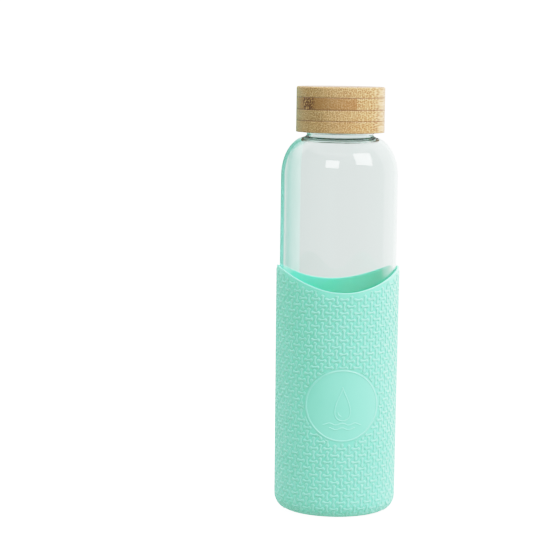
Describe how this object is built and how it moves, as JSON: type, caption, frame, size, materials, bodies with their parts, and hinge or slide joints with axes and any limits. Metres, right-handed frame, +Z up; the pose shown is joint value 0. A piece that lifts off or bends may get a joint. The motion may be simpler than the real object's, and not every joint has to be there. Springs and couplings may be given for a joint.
{
  "type": "glass water bottle",
  "caption": "Round glass water bottle in a silicone sleeve with a curved top edge, closed by a screw cap of laminated bamboo.",
  "frame": {"origin": "centre of the sleeve's underside, on the surface that the bottle stands on", "axes": "+Z up along the bottle's axis; the low front dip of the sleeve and its round badge face -Y"},
  "size_m": [0.0686, 0.0686, 0.2362],
  "materials": {
    "mint_silicone": "soft matt mint-green silicone with an embossed pattern",
    "clear_glass": "clear soda-lime glass, polished",
    "clear_silicone": "translucent silicone, satin",
    "white_polypropylene": "white moulded polypropylene, satin",
    "bamboo_top_ply": "sanded bamboo, oiled",
    "bamboo_dark_ply": "sanded bamboo with a dark node, oiled",
    "bamboo_pale_ply": "sanded bamboo, oiled",
    "bamboo_foot_ply": "sanded bamboo, oiled"
  },
  "bodies": {
    "sleeve": {"silicone_sleeve": "mint_silicone"},
    "bottle": {"glass_bottle": "clear_glass"},
    "seal": {"sealing_ring": "clear_silicone"},
    "cap": {"thread_insert": "white_polypropylene", "bamboo_layer_1": "bamboo_top_ply", "bamboo_layer_2": "bamboo_dark_ply", "bamboo_layer_3": "bamboo_pale_ply", "bamboo_layer_4": "bamboo_foot_ply"}
  },
  "joints": [
    {"name": "bottle_lift", "type": "slide", "parent": "sleeve", "child": "bottle", "axis": [0, 0, 1], "range_m": [0, 0.14]},
    {"name": "cap_rise", "type": "slide", "parent": "bottle", "child": "seal", "axis": [0, 0, 1], "range_m": [0, 0.0201]},
    {"name": "cap_turn", "type": "hinge", "parent": "seal", "child": "cap", "pos_m": [0, 0, 0.211], "axis": [0, 0, 1], "range_deg": [0, 1440]}
  ],
  "couplings": [
    {"joint": "cap_rise", "follows": "cap_turn", "m_per_rad": 0.00079577}
  ]
}
